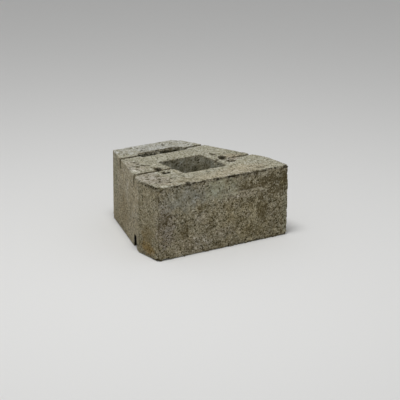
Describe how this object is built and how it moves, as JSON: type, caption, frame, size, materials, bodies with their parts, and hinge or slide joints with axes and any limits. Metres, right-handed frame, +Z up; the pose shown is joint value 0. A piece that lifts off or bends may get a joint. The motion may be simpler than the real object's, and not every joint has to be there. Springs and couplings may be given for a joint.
{
  "type": "retaining wall block",
  "caption": "Cored concrete retaining-wall block: rough face, tapered tail, square and slot cores, bar grooves, four pin holes and a pin channel beneath.",
  "frame": {"origin": "middle of the footprint, on the bed that the block stands on", "axes": "+Z up as the block is laid, the exposed face looks towards -Y, +X runs along the face"},
  "size_m": [0.322, 0.3, 0.15],
  "materials": {
    "concrete": "rough dry-cast concrete, weathered and stained"
  },
  "bodies": {
    "root": {"wall_block": "concrete"}
  },
  "joints": []
}
